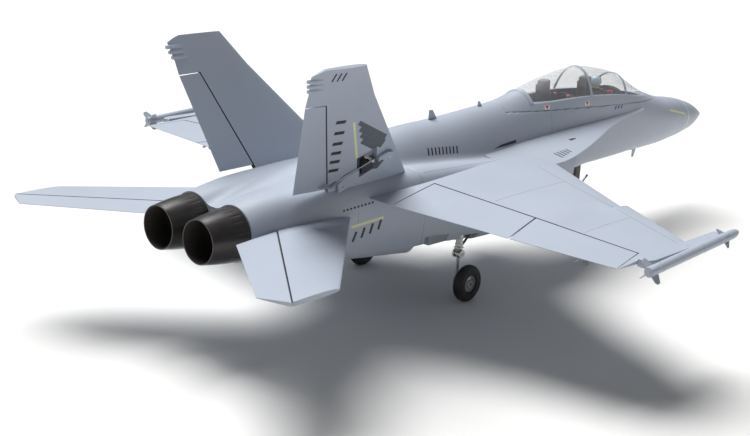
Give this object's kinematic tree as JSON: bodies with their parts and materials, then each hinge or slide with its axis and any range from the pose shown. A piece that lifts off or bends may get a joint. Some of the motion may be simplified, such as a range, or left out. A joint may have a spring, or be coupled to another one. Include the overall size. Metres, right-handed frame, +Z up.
{
  "type": "rc jet plane",
  "caption": "Model jet with tandem seats, canted tail fins, ducted fans, hinged control surfaces, folding wheels and a lift-off canopy.",
  "frame": {"origin": "on the ground under the middle of the overall length and span, with the tyres standing on Z = 0", "axes": "+X forward to the nose, +Y to the port wing, +Z up"},
  "size_m": [1.5601, 1.1222, 0.441],
  "materials": {
    "grey_foam": "satin paint over moulded foam",
    "black_nozzle": "dark satin moulding",
    "clear_canopy": "clear vacuum-formed sheet",
    "cockpit_black": "matt black moulding",
    "seat_brown": "matt brown-grey moulding",
    "pilot_paint": "hand-painted doll-like figure",
    "machined_metal": "machined, satin",
    "black_rubber": "solid foam-rubber tyre",
    "carbon_tube": "carbon tube",
    "fan_plastic": "glass-filled nylon",
    "motor_metal": "anodised",
    "battery_wrap": "heat-shrink wrap",
    "electronics_black": "moulded case",
    "white_nylon": "moulded nylon",
    "steel_wire": "plated wire",
    "clear_tube": "thin plastic sheet tube"
  },
  "bodies": {
    "airframe": {"nose_cone": "grey_foam", "forward_fuselage": "grey_foam", "centre_fuselage": "grey_foam", "aft_fuselage": "grey_foam", "lerx_strakes": "grey_foam", "intake_ducts": "grey_foam", "belly_cover": "grey_foam", "wing_left": "grey_foam", "wing_right": "grey_foam", "tip_rails": "grey_foam", "tip_missiles": "grey_foam", "wing_pylons": "grey_foam", "wing_missiles": "grey_foam", "spar_tubes": "carbon_tube", "fin_left": "grey_foam", "fin_right": "grey_foam", "tailplanes": "grey_foam", "exhaust_nozzles": "black_nozzle", "thrust_tubes": "clear_tube", "fan_housings": "fan_plastic", "fan_motors": "motor_metal", "speed_controllers": "electronics_black", "battery": "battery_wrap", "receiver": "electronics_black", "servos": "electronics_black", "retract_units": "electronics_black", "antennas": "grey_foam", "cover_screws": "steel_wire"},
    "hatch": {"canopy_hatch": "grey_foam", "cockpit_tub": "cockpit_black", "ejection_seats": "seat_brown", "pilot_figure": "pilot_paint", "canopy_frame": "grey_foam", "canopy_glass": "clear_canopy"},
    "flap_left": {"flap_left": "grey_foam"},
    "flap_right": {"flap_right": "grey_foam"},
    "aileron_left": {"aileron_left": "grey_foam"},
    "aileron_right": {"aileron_right": "grey_foam"},
    "rudder_left": {"rudder_left": "grey_foam"},
    "rudder_right": {"rudder_right": "grey_foam"},
    "elevator_left": {"elevator_left": "grey_foam"},
    "elevator_right": {"elevator_right": "grey_foam"},
    "rudder_arm_left": {"rudder_arm_left": "white_nylon"},
    "rudder_arm_right": {"rudder_arm_right": "white_nylon"},
    "rudder_rod_left": {"rudder_rod_left": "steel_wire"},
    "rudder_rod_right": {"rudder_rod_right": "steel_wire"},
    "fan_rotor_left": {"fan_rotor_left": "fan_plastic"},
    "fan_rotor_right": {"fan_rotor_right": "fan_plastic"},
    "nose_leg": {"nose_leg": "machined_metal"},
    "nose_fork": {"nose_fork": "machined_metal"},
    "nose_wheels": {"nose_tyres": "black_rubber", "nose_hubs": "machined_metal"},
    "main_leg_left": {"main_leg_left": "machined_metal"},
    "main_link_left": {"main_link_left": "machined_metal"},
    "main_wheel_left": {"main_tyre_left": "black_rubber", "main_hub_left": "machined_metal"},
    "main_leg_right": {"main_leg_right": "machined_metal"},
    "main_link_right": {"main_link_right": "machined_metal"},
    "main_wheel_right": {"main_tyre_right": "black_rubber", "main_hub_right": "machined_metal"}
  },
  "joints": [
    {"name": "hatch_lift", "type": "slide", "parent": "airframe", "child": "hatch", "axis": [0, 0, 1], "range_m": [0, 0.08]},
    {"name": "flap_left_hinge", "type": "hinge", "parent": "airframe", "child": "flap_left", "pos_m": [-0.263, 0, 0.2177], "axis": [0, -0.9994, 0.0349], "range_deg": [0, 30]},
    {"name": "flap_right_hinge", "type": "hinge", "parent": "airframe", "child": "flap_right", "pos_m": [-0.263, 0, 0.2177], "axis": [0, -0.9994, -0.0349], "range_deg": [0, 30]},
    {"name": "aileron_left_hinge", "type": "hinge", "parent": "airframe", "child": "aileron_left", "pos_m": [-0.263, 0, 0.2177], "axis": [0, -0.9994, 0.0349], "range_deg": [-20, 20]},
    {"name": "aileron_right_hinge", "type": "hinge", "parent": "airframe", "child": "aileron_right", "pos_m": [-0.263, 0, 0.2177], "axis": [0, -0.9994, -0.0349], "range_deg": [-20, 20]},
    {"name": "rudder_left_hinge", "type": "hinge", "parent": "airframe", "child": "rudder_left", "pos_m": [-0.476, 0.08, 0.238], "axis": [-0.3955, 0.3276, 0.858], "range_deg": [-25, 25]},
    {"name": "rudder_right_hinge", "type": "hinge", "parent": "airframe", "child": "rudder_right", "pos_m": [-0.476, -0.08, 0.238], "axis": [-0.3955, -0.3276, 0.858], "range_deg": [-25, 25]},
    {"name": "rudder_arm_left_turn", "type": "hinge", "parent": "airframe", "child": "rudder_arm_left", "pos_m": [-0.40594, 0.09682, 0.28206], "axis": [-0.3955, 0.3276, 0.858], "range_deg": [-25, 25]},
    {"name": "rudder_arm_right_turn", "type": "hinge", "parent": "airframe", "child": "rudder_arm_right", "pos_m": [-0.40594, -0.09682, 0.28206], "axis": [-0.3955, -0.3276, 0.858], "range_deg": [-25, 25]},
    {"name": "rudder_rod_left_pin", "type": "hinge", "parent": "rudder_arm_left", "child": "rudder_rod_left", "pos_m": [-0.40594, 0.11084, 0.2767], "axis": [-0.3955, 0.3276, 0.858], "range_deg": [-25, 25]},
    {"name": "rudder_rod_right_pin", "type": "hinge", "parent": "rudder_arm_right", "child": "rudder_rod_right", "pos_m": [-0.40594, -0.11084, 0.2767], "axis": [-0.3955, -0.3276, 0.858], "range_deg": [-25, 25]},
    {"name": "elevator_left_hinge", "type": "hinge", "parent": "airframe", "child": "elevator_left", "pos_m": [-0.583, 0.09, 0.19], "axis": [0.6361, -0.7714, 0.0202], "range_deg": [-20, 20]},
    {"name": "elevator_right_hinge", "type": "hinge", "parent": "airframe", "child": "elevator_right", "pos_m": [-0.583, -0.09, 0.19], "axis": [-0.6361, -0.7714, -0.0202], "range_deg": [-20, 20]},
    {"name": "fan_left_spin", "type": "hinge", "parent": "airframe", "child": "fan_rotor_left", "pos_m": [-0.187, 0.044, 0.186], "axis": [1, 0, 0], "continuous": true},
    {"name": "fan_right_spin", "type": "hinge", "parent": "airframe", "child": "fan_rotor_right", "pos_m": [-0.187, -0.044, 0.186], "axis": [1, 0, 0], "continuous": true},
    {"name": "nose_gear_fold", "type": "hinge", "parent": "airframe", "child": "nose_leg", "pos_m": [0.315, 0, 0.154], "axis": [0, -1, 0], "range_deg": [0, 92]},
    {"name": "nose_gear_steer", "type": "hinge", "parent": "nose_leg", "child": "nose_fork", "pos_m": [0.315, 0, 0.1], "axis": [0, 0, 1], "range_deg": [-25, 25]},
    {"name": "nose_wheels_spin", "type": "hinge", "parent": "nose_fork", "child": "nose_wheels", "pos_m": [0.315, 0, 0.0235], "axis": [0, 1, 0], "continuous": true},
    {"name": "main_gear_left_fold", "type": "hinge", "parent": "airframe", "child": "main_leg_left", "pos_m": [-0.161, 0.097, 0.118], "axis": [0, 0.9397, 0.342], "range_deg": [0, 90]},
    {"name": "main_link_left_spring", "type": "hinge", "parent": "main_leg_left", "child": "main_link_left", "pos_m": [-0.161, 0.097, 0.078], "axis": [0, 1, 0], "range_deg": [0, 10], "stiffness_Nm_per_rad": 6},
    {"name": "main_wheel_left_spin", "type": "hinge", "parent": "main_link_left", "child": "main_wheel_left", "pos_m": [-0.161, 0.12, 0.0315], "axis": [0, 1, 0], "continuous": true},
    {"name": "main_gear_right_fold", "type": "hinge", "parent": "airframe", "child": "main_leg_right", "pos_m": [-0.161, -0.097, 0.118], "axis": [0, 0.9397, -0.342], "range_deg": [0, 90]},
    {"name": "main_link_right_spring", "type": "hinge", "parent": "main_leg_right", "child": "main_link_right", "pos_m": [-0.161, -0.097, 0.078], "axis": [0, 1, 0], "range_deg": [0, 10], "stiffness_Nm_per_rad": 6},
    {"name": "main_wheel_right_spin", "type": "hinge", "parent": "main_link_right", "child": "main_wheel_right", "pos_m": [-0.161, -0.12, 0.0315], "axis": [0, 1, 0], "continuous": true}
  ],
  "couplings": [
    {"joint": "flap_right_hinge", "follows": "flap_left_hinge", "ratio": 1},
    {"joint": "aileron_right_hinge", "follows": "aileron_left_hinge", "ratio": -1},
    {"joint": "rudder_right_hinge", "follows": "rudder_left_hinge", "ratio": 1},
    {"joint": "rudder_arm_left_turn", "follows": "rudder_left_hinge", "ratio": 1},
    {"joint": "rudder_arm_right_turn", "follows": "rudder_left_hinge", "ratio": 1},
    {"joint": "rudder_rod_left_pin", "follows": "rudder_left_hinge", "ratio": -1},
    {"joint": "rudder_rod_right_pin", "follows": "rudder_left_hinge", "ratio": -1},
    {"joint": "elevator_right_hinge", "follows": "elevator_left_hinge", "ratio": 1},
    {"joint": "main_gear_right_fold", "follows": "main_gear_left_fold", "ratio": 1}
  ]
}
